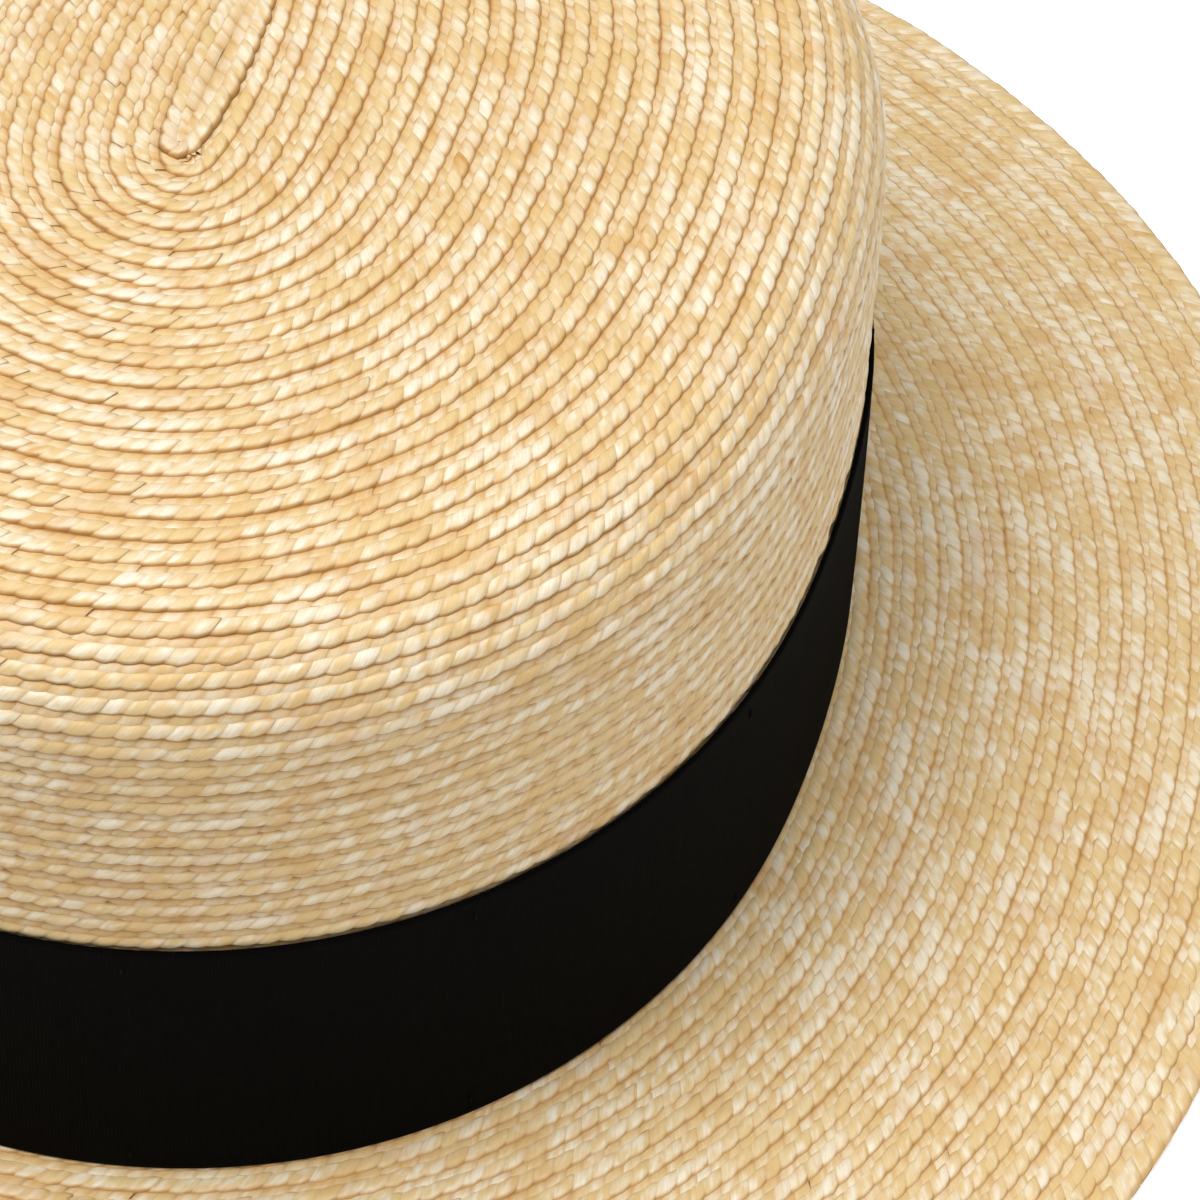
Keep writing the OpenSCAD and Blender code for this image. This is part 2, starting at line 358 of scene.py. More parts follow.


# One tooth is two cells of flattened straw. across is the distance inwards from the
# row's edge, height a share of the relief, shade the painted shade in the straw's colour,
# 1 in full light and 0 in the tuck and on the dark line at the row's edge, bulge how far
# the edge swells out, along the share of the tooth, slant how far a point lags for its
# distance from the edge, and shift the cell's start in teeth.
OUTER = dict(
    across=np.array([-0.12, 0.06, 0.42, 1.05, 1.75, 2.15]) * MM,
    height=np.array([-0.12, 0.66, 0.96, 1.0, 0.86, 0.44]),
    shade=np.array([0.0, 0.50, 0.92, 1.0, 0.90, 0.42]),
    bulge=np.array([1.0, 1.0, 0.60, 0.1, 0.0, 0.0]),
    along=np.array([0.0, 0.16, 0.42, 0.70, 0.90, 1.0]),
    slant=0.80,
    shift=0.0,
)
INNER = dict(
    across=np.array([1.45, 2.0, 2.85, 3.7]) * MM,
    height=np.array([0.30, 0.72, 0.62, 0.12]),
    shade=np.array([0.58, 0.88, 0.76, 0.05]),
    bulge=np.array([0.6, 0.3, 0.0, 0.0]),
    along=np.array([0.0, 0.25, 0.65, 1.0]),
    slant=0.75,
    shift=0.5,
)


def coarser(cell):
    """The same cell with four points each way, for faces that are seen less."""
    across = [0, 1, 3, 5] if len(cell["across"]) == 6 else [0, 1, 2, 3]
    along = [0, 2, 3, 5] if len(cell["along"]) == 6 else [0, 1, 2, 3]
    thin = {key: cell[key][across] for key in ("across", "height", "shade", "bulge")}
    return dict(cell, along=cell["along"][along], **thin)


def teeth(
    skin, path, seed, side=1, relief=None, wide=1.0, pale=1.0, least=0.05 * MM, hem=None, tuck_shade=1.0
):
    """Cells of plait along a path, as two groups of grids, with each tooth's place s.

    A point's place along the row is its tooth's start plus its share of the tooth, less
    the slant times its distance from the edge; its height is the section's height,
    lower at the ends and tilted so that one end laps over the next cell. side is -1 on
    the under face, where the rows show their inner edges. hem names the group
    whose edge is kept smooth and full, with less painted shade, and the last argument,
    raised, deepens the painted shade in the tucks and laps; the painted shade also falls
    towards each tooth's ends.
    """
    z = sizes()
    relief = relief or z.relief
    rng = np.random.default_rng(seed)
    s, a = path
    line = place(skin, s, a, 0)
    run = np.concatenate([[0], np.cumsum(np.linalg.norm(np.diff(line, axis=0), axis=1))])
    closed = abs(s[-1] - s[0]) < 1e-9 and abs(abs(a[-1] - a[0]) - 2 * math.pi) < 1e-6
    count = int(run[-1] / z.tooth)
    ends = np.cumsum(z.tooth * (1 + 0.06 * np.clip(rng.standard_normal(count), -2, 2)))
    ends *= run[-1] / ends[-1]
    starts = np.concatenate([[0], ends[:-1]])
    step = ends - starts
    wobble = 0.10 * MM * drift(run, 14 * MM, seed + 1)
    wobble *= np.clip(np.minimum(run, run[-1] - run) / (10 * MM), 0, 1)
    strand = np.random.default_rng(seed + 2).random(7)
    groups = []
    for number, cell in enumerate((OUTER, INNER)):
        if side < 0:
            cell = coarser(cell)
        # A hem keeps at least 0.6 of the light in its painted shade, so its edge shows no dark line.
        if hem == ("outer", "inner")[number]:
            full = {key: np.maximum(cell[key], low) for key, low in (("shade", 0.6), ("height", 0.4))}
            cell = dict(cell, bulge=cell["bulge"] * 0.3, **full)

        def each(spread, low=-2.2, high=2.2):
            return spread * np.clip(rng.standard_normal(count), low, high)[:, None, None]

        t = cell["along"][None, None, :]
        b = cell["across"][None, :, None] * wide
        swell = np.sin(np.pi * t)
        u = starts[:, None, None] + step[:, None, None] * (0.5 + cell["shift"] + (t - 0.5) * 1.24)
        u = u - side * cell["slant"] * b + each(0.08 * MM) + each(0.06) * b
        b = b - cell["bulge"][None, :, None] * swell * (0.40 * MM + each(0.09 * MM)) + each(0.05 * MM)
        h = cell["height"][None, :, None] * (0.74 + 0.26 * swell**0.7)
        h = h * (1 + each(0.07)) + (0.5 - t) * (0.20 + each(0.10)) * np.clip(swell + 0.7, 0, 1)
        spot = np.mod(u, run[-1]) if closed else np.clip(u, 0, run[-1])
        at = np.interp(spot, run, np.arange(len(run)))
        low = np.clip(at.astype(int), 0, len(run) - 2)
        part = at - low
        ss = s[low] * (1 - part) + s[low + 1] * part + np.interp(spot, run, wobble)
        aa = a[low] * (1 - part) + a[low + 1] * part
        out = relief * (h - 1.0)
        if side < 0:
            outer = ss
            ss = ss - z.row * wide + b
            if hem:
                ss = np.minimum(ss, outer)
            out = -z.shell + 0.3 * MM - relief * 0.62 * h
        else:
            ss = ss - b
        ss = np.maximum(ss, least)
        points = place(skin, ss, aa, out)
        tone = 0.55 * strand[(np.arange(count) + 3 * number) % 7] + 0.45 * rng.random(count)
        fleck = np.clip(0.5 + 0.32 * drift(starts, 11 * MM, seed + 5 + number), 0, 1) * rng.random(count)
        # Painted shade: darker in the tucks and towards each tooth's ends, where the teeth shade one
        # another.
        shade = cell["shade"][None, :, None] ** tuck_shade * (0.72 + 0.28 * swell)
        full = np.broadcast_to(np.zeros(1), points.shape[:3])
        # The first two numbers are the straw's own tone and pale flecks; the third is its painted shade.
        tint = np.stack([
            tone[:, None, None] + full, pale * fleck[:, None, None] + full, shade + full,
        ], -1)
        grain = np.stack([
            (u - starts[:, None, None] + side * cell["slant"] * b) / MM + full,
            b * math.hypot(1, cell["slant"]) / MM + full,
            rng.random(count)[:, None, None] * 900 + full,
        ], -1)
        outward = place(skin, ss, aa, out + side * MM) - points
        groups.append((points, outward, tint, grain))
    middle = np.interp(starts, run, s)
    return groups, middle


def plait_piece(name, rows, keep, material, nodes):
    """One piece from the teeth that keep marks."""
    groups, _ = rows
    patches = [
        Patch(points[keep], outward=outward[keep][:, :-1, :-1], tint=tint[keep], grain=grain[keep])
        for points, outward, tint, grain in groups
    ]
    return make_piece(name, patches, material, nodes)


# Shader maths ---------------------------------------------------------------------


class Socket:
    """An output of a shader node; arithmetic on it adds Math nodes."""

    def __init__(self, tree, out):
        self.tree, self.out = tree, out

    def node(self, kind, settings=None, inputs=None, output=0):
        """Adds a node: settings first, then its sockets, which take values or links."""
        return add_node(self.tree, kind, settings, inputs, output)

    def math(self, operation, a, b=0.0, c=0.0, clamp=False):
        settings = {"operation": operation, "use_clamp": clamp}
        return self.node("ShaderNodeMath", settings, {0: a, 1: b, 2: c})

    def __add__(self, other):
        return self.math("ADD", self, other)

    def __sub__(self, other):
        return self.math("SUBTRACT", self, other)

    def __rsub__(self, other):
        return self.math("SUBTRACT", other, self)

    def __mul__(self, other):
        return self.math("MULTIPLY", self, other)

    def __truediv__(self, other):
        return self.math("DIVIDE", self, other)

    __radd__, __rmul__ = __add__, __mul__

    def power(self, exponent):
        return self.math("POWER", self, exponent)

    def sine(self):
        return self.math("SINE", self)

    def between(self, low, high):
        """0 below low, 1 above high, and smooth between them."""
        settings = {"interpolation_type": "SMOOTHSTEP", "clamp": True}
        return self.node("ShaderNodeMapRange", settings, {0: self, 1: low, 2: high, 3: 0.0, 4: 1.0})

    def stretched(self, x, y, z):
        return self.node("ShaderNodeVectorMath", {"operation": "MULTIPLY"}, {0: self, 1: (x, y, z)})

    def part(self, index):
        return self.node("ShaderNodeSeparateXYZ", None, {0: self}, index)

    def noise(self, scale=1.0, detail=1.0, roughness=0.5):
        inputs = {"Vector": self, "Scale": scale, "Detail": detail, "Roughness": roughness}
        return self.node("ShaderNodeTexNoise", None, inputs)

    def mix(self, a, b):
        """Colour a where this is 0 and colour b where it is 1."""
        a, b = (x if isinstance(x, Socket) else (*x, 1.0) for x in (a, b))
        settings = {"data_type": "RGBA", "clamp_factor": True}
        return self.node("ShaderNodeMix", settings, {0: self, 6: a, 7: b}, 2)

    def bump(self, distance, strength=1.0):
        inputs = {"Strength": strength, "Distance": distance, "Height": self}
        return self.node("ShaderNodeBump", None, inputs)


def add_node(tree, kind, settings=None, inputs=None, output=0):
    """Adds a node: its settings first, stops being a ramp's, then its sockets."""
    made = tree.nodes.new(kind)
    for key, value in (settings or {}).items():
        if key == "stops":
            ramp = made.color_ramp
            ramp.elements.remove(ramp.elements[1])
            ramp.elements[0].position, ramp.elements[0].color = value[0][0], (*value[0][1], 1.0)
            for spot, paint in value[1:]:
                ramp.elements.new(spot).color = (*paint, 1.0)
        else:
            setattr(made, key, value)
    for key, value in (inputs or {}).items():
        if isinstance(value, Socket):
            tree.links.new(value.out, made.inputs[key])
        else:
            made.inputs[key].default_value = value
    return Socket(tree, made.outputs[output]) if made.outputs else None


def new_material(name):
    """An empty material, with its tree."""
    made = bpy.data.materials.new(name)
    made.use_nodes = True
    made.node_tree.nodes.clear()
    return made, made.node_tree


def shade(tree, **inputs):
    """The material's shader; inputs are the shader's own socket names, _ for a space."""
    named = {key.replace("_", " "): value for key, value in inputs.items()}
    surface = add_node(tree, "ShaderNodeBsdfPrincipled", None, named)
    add_node(tree, "ShaderNodeOutputMaterial", None, {"Surface": surface})


def attribute(tree, name):
    """A mesh attribute's three numbers."""
    return add_node(tree, "ShaderNodeAttribute", {"attribute_name": name}, None, 1)


def straw_material():
    """Flattened straw: tone by straw, pale flecks, fibres along the straw, and painted shade in the
    tucks, warm amber at its edge and dark brown deep in.
    """
    made, tree = new_material("plait_straw")
    c = colours()
    tint, grain = attribute(tree, "tint"), attribute(tree, "grain")
    # light is the painted shade from the teeth: 1 in full light, 0 in the tucks.
    tone, fleck, light = tint.part(0), tint.part(1), tint.part(2)
    soft = grain.stretched(0.5, 0.28, 1.0).noise(1.0, 1.0)
    tone = tone * 0.70 + soft * 0.60 - 0.16
    stops = [(0.0, c.amber), (0.18, c.gold), (0.46, c.gold), (0.85, c.cream)]
    body = add_node(tree, "ShaderNodeValToRGB", {"stops": stops}, {0: tone})
    fibre = grain.stretched(5.5, 0.45, 1.0).noise(1.0, 2.0, 0.6)
    broad = grain.stretched(0.60, 0.36, 1.0).noise(1.0, 1.5)
    where = add_node(tree, "ShaderNodeTexCoord", None, None, 3)
    cloud = where.stretched(85, 85, 85).noise(1.0, 2.0)
    ember = where.stretched(140, 140, 140).noise(1.0, 1.0)
    # Bleached patches, kept out of the painted shade of the tucks.
    pale = (broad + fleck * 0.34 + cloud * 0.62 - 0.34).between(0.42, 0.80) * light.between(0.30, 0.95)
    body = (pale * 0.85).mix(body, c.pale)
    body = ((1.0 - fibre.between(0.34, 0.62)) * 0.22).mix(body, c.amber)
    speck = grain.stretched(1.3, 0.8, 1.0).noise(1.0, 2.0).between(0.80, 0.84)
    body = (speck * 0.7).mix(body, c.speck)
    # Painted shade: warm amber where the painted shade begins, then dark tuck brown deep in the tucks,
    # standing for the shadow between rows.
    painted_warm_shade = (1.0 - light).between(0.12, 0.75)
    body = (painted_warm_shade * 0.80).mix(body, c.amber)
    body = (ember.between(0.50, 0.72) * 0.30).mix(body, c.amber)
    body = ((1.0 - light).power(2.2) * 0.95).mix(body, c.tuck_shade)
    rough = 0.44 - pale * 0.12 + fibre * 0.12
    height = fibre * 0.6 + broad * 0.9
    shade(
        tree, Base_Color=body, Roughness=rough, Normal=height.bump(0.08 * MM, 0.5),
        Specular_IOR_Level=0.5,
    )
    return made


def lap_material():
    """Straw seen between the teeth, with their shade painted in: dark tuck brown blotched with amber."""
    made, tree = new_material("lap_straw")
    c = colours()
    where = add_node(tree, "ShaderNodeTexCoord", None, None, 3)
    blotch = where.stretched(700, 700, 700).noise(1.0, 2.0)
    streak = where.stretched(2600, 900, 2600).noise(1.0, 1.0)
    # Painted shade: dark tuck brown to amber.
    body = blotch.between(0.35, 0.7).mix(c.tuck_shade, c.amber)
    body = (streak.between(0.5, 0.75) * 0.5).mix(body, c.gold)
    shade(
        tree, Base_Color=body, Roughness=0.6 - streak * 0.1, Normal=streak.bump(0.06 * MM, 0.6),
        Specular_IOR_Level=0.3,
    )
    return made


def cloth_material(name, base, light, rough, rib, sheen, twill=1.0, gloss=0.25):
    """Ribbed or twisted cloth: weave across the grain attribute, slubs and lint.

    grain holds the distance along the ribbon, the distance across it, both in
    millimetres, and a number for the piece.
    """
    made, tree = new_material(name)
    grain = attribute(tree, "grain")
    weft = (grain.part(0) * (2 * math.pi / rib)).sine()
    warp = (grain.part(1) * (2 * math.pi / 0.22) + weft * 1.2).sine()
    slub = grain.stretched(0.35, 2.4, 1.0).noise(1.0, 2.0)
    lint = grain.stretched(0.9, 0.9, 1.0).noise(1.0, 3.0, 0.7)
    wear = (slub * 0.6 + lint * 0.4).between(0.35, 0.75)
    body = (wear * 0.55 + weft * 0.16 + 0.12).mix(base, light)
    body = (lint.between(0.70, 0.78) * 0.35).mix(body, light)
    height = weft * 0.6 * twill + warp * 0.25 + slub * 0.5
    shade(
        tree, Base_Color=body, Roughness=rough + wear * 0.10 - weft * 0.04,
        Normal=height.bump(0.08 * MM, 1.0), Sheen_Weight=sheen, Sheen_Roughness=0.4,
        Specular_IOR_Level=gloss,
    )
    return made


def floor_material():
    """Pale floor that keeps the hat's shadow and shows white to the camera."""
    made, tree = new_material("stage_floor")
    c = colours()
    rays = ("Is Camera Ray", "Is Glossy Ray")
    path = {k: add_node(tree, "ShaderNodeLightPath", None, None, k) for k in rays}
    seen = path["Is Camera Ray"].math("MAXIMUM", path["Is Camera Ray"], path["Is Glossy Ray"])
    where = add_node(tree, "ShaderNodeTexCoord", None, None, 3)
    grain = where.stretched(4, 4, 4).noise(1.0, 2.0)
    body = grain.mix(c.floor, [x * 0.99 for x in c.floor])
    inputs = {
        "Base Color": body, "Roughness": 0.8, "Emission Color": seen.mix((0, 0, 0), (0.45, 0.45, 0.45)),
        "Emission Strength": 1.0, "Specular IOR Level": 0.1,
    }
    surface = add_node(tree, "ShaderNodeBsdfPrincipled", None, inputs)
    add_node(tree, "ShaderNodeOutputMaterial", None, {"Surface": surface})
    return made


def finish_of(name):
    """The shared materials by name, made when first asked for."""
    if name in bpy.data.materials:
        return bpy.data.materials[name]
    c = colours()
    lighter = lambda base, k: [min(1.0, x * k) for x in base]
    makers = {
        "plait_straw": straw_material,
        "lap_straw": lap_material,
        "black_grosgrain": lambda: cloth_material(
            "black_grosgrain", c.black, lighter(c.black, 2.6), 0.82, sizes().rib / MM, 0.0, 0.0, 0.05),
        "tack_thread": lambda: cloth_material(
            "tack_thread", lighter(c.black, 1.5), lighter(c.black, 3), 0.7, 0.5, 0.0, 1.0, 0.08),
        "cream_grosgrain": lambda: cloth_material(
            "cream_grosgrain", lighter(c.band, 0.8), c.band, 0.75, 0.8, 0.12),
        "cream_cord": lambda: cloth_material(
            "cream_cord", lighter(c.band, 0.85), lighter(c.band, 1.08), 0.6, 0.9, 0.1),
        "seam_thread": lambda: cloth_material(
            "seam_thread", lighter(c.thread, 0.7), lighter(c.thread, 1.15), 0.55, 0.35, 0.08),
    }
    return makers[name]()


# Cloth and thread -----------------------------------------------------------------


def around(skin, s, middle, count, low=-math.pi, high=math.pi):
    """Angles evenly spread by length round one row, and their lengths from the middle."""
    a = middle + np.linspace(low, high, 7201)
    line = place(skin, s, a, 0)
    run = np.concatenate([[0], np.cumsum(np.linalg.norm(np.diff(line, axis=0), axis=1))])
    run -= np.interp(middle, a, run)
    even = np.linspace(run[0], run[-1], count)
    return np.interp(even, run, a), even


class Wall:
    """Places cloth on the crown's side: along it, up it and out from it."""

    def __init__(self, skin, height, middle):
        self.skin, self.s = skin, skin.s_at(height)
        self.a, self.run = around(skin, self.s, middle, 3601, -2.2, 2.2)

    def at(self, along, up, out):
        """The point at a length along the row through the middle, a length up and one out."""
        return place(self.skin, self.s - up, np.interp(along, self.run, self.a), out)


def slab(surface, u, v, thickness, ribs=None, closed=False):
    """A closed sheet: a surface(u, v, out) on a grid, half its thickness to each side.

    The section goes over the top from v=0 to 1 and back underneath; the first and last
    sections shut on the middle of the sheet, unless it closes round on itself. ribs is
    a wave along u that is added to the top.
    """
    top = np.full((len(u), len(v)), thickness / 2)
    if ribs is not None:
        top = top + ribs[:, None] * np.clip(np.sin(np.pi * v) * 6, 0, 1)[None, :]
    bottom = np.full(top.shape, -thickness / 2)
    if not closed:
        top[[0, -1]] = bottom[[0, -1]] = 0
    uu, vv = np.meshgrid(u, v, indexing="ij")
    points = np.concatenate([surface(uu, vv, top), surface(uu, vv, bottom)[:, ::-1]], 1)
    upper = surface(uu, vv, top + MM) - surface(uu, vv, top)
    outward = np.concatenate([upper, -upper[:, ::-1]], 1)
    return points, outward[:-1, :-1] if not closed else outward[:-1, :-1]


def grain_of(along, across, number=0.0):
    """Grain of a closed sheet in millimetres, the same over and under."""
    both = np.concatenate([across, across[::-1]])
    x, y = np.meshgrid(along / MM, both / MM, indexing="ij")
    return np.stack([x, y, np.full(x.shape, number)], -1)


def cloth_patch(surface, u, v, thickness, run, width, ribs=None, closed=False, lines=2, number=0.0):
    points, outward = slab(surface, u, v, thickness, ribs, closed)
    return Patch(
        points, wrap=(closed, True), lines=lines, outward=outward,
        grain=grain_of(run, v * width, number),
    )


def dashes(skin, s, a, out, half, thick, along_row=True):
    """Stitches as short four-sided tubes that dip at both ends, sewn along or across a row."""
    count = len(s)
    t = np.linspace(-1, 1, 4)
    ring_angle = np.arange(4) * 2 * math.pi / 4
    shape = np.sqrt(np.clip(1 - t**2, 0, 1)) * 0.9 + 0.1
    shape[[0, -1]] = 0
    r = skin.profile(np.asarray(s))[0]
    reach = half / np.maximum(r, 5 * MM) if along_row else half
    tt = t[None, :, None]
    side = thick / 2 * shape[None, :, None] * np.cos(ring_angle)[None, None, :]
    lift = thick / 2 * shape[None, :, None] * np.sin(ring_angle)[None, None, :]
    dip = -np.sign(out) * thick * 0.5 * (tt**4)
    s, a = np.asarray(s)[:, None, None], np.asarray(a)[:, None, None]
    if along_row:
        points = place(skin, s + side, a + tt * np.reshape(reach, (-1, 1, 1)), out + lift + dip)
    else:
        points = place(skin, s + tt * reach, a + side / 0.09, out + lift + dip)
    number = (np.arange(count) * 7.31)[:, None, None]
    grain = np.stack(np.broadcast_arrays(tt * half / MM, ring_angle / 6, number), -1)
    return Patch(points, wrap=(False, True), grain=grain)


# Operators ------------------------------------------------------------------------


class BOATER_OT_crown_rows(bpy.types.Operator):
    """Sews the crown's rows of plait, from the middle of the tip down under the ribbon"""

    bl_idname = "boater.crown_rows"
    bl_label = "Crown rows"

    def execute(self, context):
        z, crown = sizes(), Crown()
        straw = finish_of("plait_straw")
        foot = crown.s_at(RIBBON_HIGH.z - 5 * MM)
        path = spiral(FIRST_EDGE - z.row, foot + 2 * MM, z.row, 0.0)
        # The crown's tucks get deeper painted shade than the brim's.
        rows = teeth(crown, path, 11, pale=0.9, tuck_shade=1.4)
        s = rows[1]
        cuts = [0, 30, 46, 59, 71, 83, 95, 104, 113, 122, 200]
        names = [
            "tip_rows_first", "tip_rows_second", "tip_rows_third", "tip_rows_last",
            "shoulder_rows_upper", "shoulder_rows_lower", "side_rows_first", "side_rows_second",
            "side_rows_third", "side_rows_last",
        ]
        for name, low, high in zip(names, cuts[:-1], cuts[1:], strict=True):
            keep = (s >= low * MM) & (s < high * MM)
            if not keep.any():
                continue
            node = "crown_tip" if high <= 71 else "crown_shoulder" if high <= 95 else "crown_side"
            plait_piece(name, rows, keep, straw, [node])
        return {"FINISHED"}


class BOATER_OT_crown_inside(bpy.types.Operator):
    """Sews the inner face of the crown's rows, down to the sweatband"""

    bl_idname = "boater.crown_inside"
    bl_label = "Crown inside"

    def execute(self, context):
        z, crown = sizes(), Crown()
        straw = finish_of("plait_straw")
        foot = crown.s_at(SWEAT_HIGH.z - 3 * MM)
        rows = teeth(crown, spiral(FIRST_EDGE - z.row, foot, z.row, 0.0), 211, side=-1, pale=0.7)
        s = rows[1]
        cuts = [0, 46, 71, 95, 115, 200]
        names = ["tip_inside_middle", "tip_inside_edge", "shoulder_inside", "side_inside_upper",
                 "side_inside_lower"]
        for name, low, high in zip(names, cuts[:-1], cuts[1:], strict=True):
            keep = (s >= low * MM) & (s < high * MM)
            node = "crown_tip" if high <= 71 else "crown_shoulder" if high <= 95 else "crown_side"
            plait_piece(name, rows, keep, straw, [node])
        return {"FINISHED"}


class BOATER_OT_brim_rows(bpy.types.Operator):
    """Sews the brim's rows of plait, above and below"""

    bl_idname = "boater.brim_rows"
    bl_label = "Brim rows"

    def execute(self, context):
        z, brim = sizes(), Brim()
        straw = finish_of("plait_straw")
        last = brim.width - z.edge_row + 0.4 * MM
        path = spiral(0.0, last, z.brim_row, 0.0, last)
        above = teeth(brim, path, 31, relief=0.72 * MM, wide=1.05, least=-1.2 * MM)
        below = teeth(brim, path, 231, side=-1, relief=0.8 * MM, wide=1.05, pale=0.7, least=-1.2 * MM)
        cuts = [0, 18, 34, 49, 200]
        for rows, word in ((above, "top"), (below, "under")):
            for number, (low, high) in enumerate(zip(cuts[:-1], cuts[1:], strict=True), 1):
                keep = (rows[1] >= low * MM) & (rows[1] < high * MM)
                plait_piece(f"brim_{word}_rows_{number}", rows, keep, straw, ["brim"])
        return {"FINISHED"}


class BOATER_OT_plait_ends(bpy.types.Operator):
    """Lays the straight first length on the tip, the doubled row at the edge and the tail"""

    bl_idname = "boater.plait_ends"
    bl_label = "First length, edge row and tail"

    def execute(self, context):
        z = sizes()
        straw = finish_of("plait_straw")
        start = Crown()
        start.low += 0.75 * MM
        start.shift, start.straight = -2.2 * MM, 14.8 * MM
        path = ring(3.6 * MM, 0.0, -2 * math.pi)
        rows = teeth(start, path, 51, wide=0.95, relief=0.95 * MM, hem="inner")
        everything = np.ones(len(rows[1]), bool)
        plait_piece("first_plait", rows, everything, straw, ["plait_start"])

        brim = Brim()
        wide = z.edge_row / z.row
        path = ring(brim.width - 0.1 * MM, 0.0, -2 * math.pi)
        above = teeth(brim, path, 61, relief=0.95 * MM, wide=wide, hem="outer")
        below = teeth(brim, path, 62, side=-1, relief=0.9 * MM, wide=wide, pale=0.7, hem="inner")
        everything = np.ones(len(above[1]), bool)
        plait_piece("edge_row_top", above, everything, straw, ["brim_edge_row"])
        everything = np.ones(len(below[1]), bool)
        plait_piece("edge_row_under", below, everything, straw, ["brim_edge_row"])

        low = Brim(-0.42 * MM)
        path = ring(low.width - z.edge_row - 1.0 * MM, -82 * DEG, -98 * DEG)
        rows = teeth(low, path, 71, side=-1, relief=0.8 * MM, wide=1.15)
        everything = np.ones(len(rows[1]), bool)
        plait_piece("plait_end", rows, everything, straw, ["plait_tail"])
        return {"FINISHED"}


class BOATER_OT_laps(bpy.types.Operator):
    """Fills in the laps of the rows, between the outer and inner teeth"""

    bl_idname = "boater.laps"
    bl_label = "Laps between the rows"

    @staticmethod
    def band(name, skin, s0, s1, top, bottom, nodes, material="lap_straw"):
        """A closed band: out along the upper face, back along the lower one.

        grain is the angle times 150 mm and the distance down the section in millimetres.
        """
        n = max(8, int((s1 - s0) / (1.6 * MM)))
        s = np.concatenate([np.linspace(s0, s1, n), np.linspace(s1, s0, n)])
        out = np.concatenate([np.full(n, top), np.full(n, bottom)])
        a = np.linspace(0, 2 * math.pi, 240, endpoint=False)
        points = place(skin, s[None, :], a[:, None], out[None, :])
        upper = np.where(out > (top + bottom) / 2, 1.0, -1.0)
        outward = place(skin, s[None, :], a[:, None], out[None, :] + MM) - points
        outward = outward * upper[None, :, None]
        down = np.broadcast_to((s + out)[None, :] / MM, points.shape[:2])
        patch = Patch(
            points, wrap=(True, True), lines=2, outward=outward[:-1, :-1],
            # Its third number gives the plait's straw a little painted shade on the edge row's fold.
            tint=np.broadcast_to([0.45, 0.45, 0.75], points.shape),
            grain=np.stack([a[:, None] * 150 + 0 * down, down, 0 * down + 7], -1),
        )
        return make_piece(name, [patch], finish_of(material), nodes)

    def execute(self, context):
        z, crown, brim = sizes(), Crown(), Brim()
        foot = crown.s_at(SIDE_LOW.z + 1.2 * MM)
        self.band("crown_laps", crown, 0.02 * MM, foot, -0.95 * MM, -1.3 * MM,
                  ["crown_tip", "crown_shoulder", "crown_side"])
        out = brim.width - z.edge_row + 0.4 * MM
        self.band("brim_laps", brim, -1.3 * MM, out, -0.66 * MM, -1.25 * MM, ["brim"])
        self.band("edge_row_fold", brim, out - 0.8 * MM, brim.width - 0.15 * MM, -0.55 * MM,
                  -1.75 * MM, ["brim_edge_row"], "plait_straw")
        return {"FINISHED"}


class BOATER_OT_seam_threads(bpy.types.Operator):
    """Sews the seam thread inside the crown and under the brim, one line a row"""

    bl_idname = "boater.seam_threads"
    bl_label = "Seam threads"

    @staticmethod
    def line(skin, path, offset, out):
        """Stitches at even lengths along a row's path, offset inwards from its edge."""
        s, a = path
        run = np.concatenate([[0], np.cumsum(
            np.linalg.norm(np.diff(place(skin, s, a, 0), axis=0), axis=1))])
        spots = np.arange(5 * MM, run[-1], 5.4 * MM)
        wander = 0.2 * MM * drift(spots, 20 * MM, 91)
        return dashes(skin, np.interp(spots, run, s) - offset + wander, np.interp(spots, run, a),
                      out, 1.8 * MM, sizes().thread * 0.75)

    def execute(self, context):
        z, crown, brim = sizes(), Crown(), Brim()
        thread = finish_of("seam_thread")
        path = spiral(7.5 * MM, crown.s_at(SWEAT_HIGH.z + 1.5 * MM), z.row, 0.0)
        patch = self.line(crown, path, 1.7 * MM, -1.86 * MM)
        make_piece("crown_seam", [patch], thread, ["crown_seam_thread"], weld=True)
        path = spiral(3.4 * MM, brim.width - z.edge_row - 1 * MM, z.brim_row, 0.0)
        patch = self.line(brim, path, 1.7 * MM, -1.82 * MM)
        make_piece("brim_seam", [patch], thread, ["brim_seam_thread"], weld=True)
        return {"FINISHED"}


def rib_wave(run, rib, height):
    """Raised ribs along a ribbon: the size of a half sine, one for each rib."""
    return height * np.abs(np.sin(np.pi * run / rib)) ** 0.8


